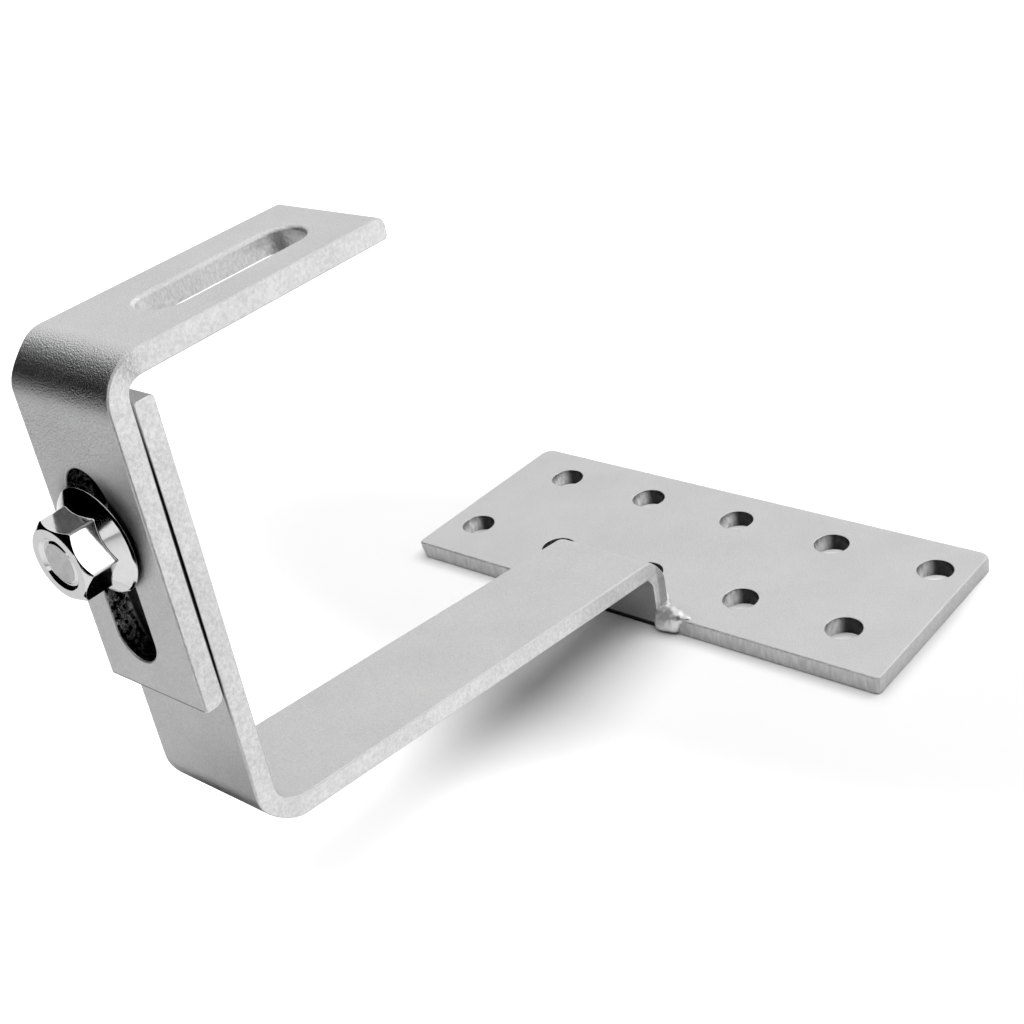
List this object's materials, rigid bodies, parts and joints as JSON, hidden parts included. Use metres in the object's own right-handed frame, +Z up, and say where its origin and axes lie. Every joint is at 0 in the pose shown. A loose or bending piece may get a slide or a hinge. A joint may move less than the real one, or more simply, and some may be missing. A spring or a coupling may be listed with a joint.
{
  "type": "solar tile roof hook",
  "caption": "Flat base plate with staggered screw holes, a bent flat-bar arm welded to it, and a slotted angle bracket bolted to the arm for height adjustment.",
  "frame": {"origin": "centre of the base plate's underside, which lies on the batten or rafter", "axes": "+Z up off the roof, +X along the base plate, -Y towards the post and the rail bracket"},
  "size_m": [0.15, 0.2104, 0.1415],
  "materials": {
    "satin_stainless": "bead-blasted satin",
    "weld_metal": "as welded, bright",
    "polished_stainless": "polished"
  },
  "bodies": {
    "hook": {"base_plate": "satin_stainless", "arm": "satin_stainless", "weld_bead": "weld_metal", "flange_bolt": "polished_stainless"},
    "bracket": {"rail_bracket": "satin_stainless"}
  },
  "joints": [
    {"name": "height_slide", "type": "slide", "parent": "hook", "child": "bracket", "axis": [0, 0, 1], "range_m": [0, 0.022]}
  ]
}
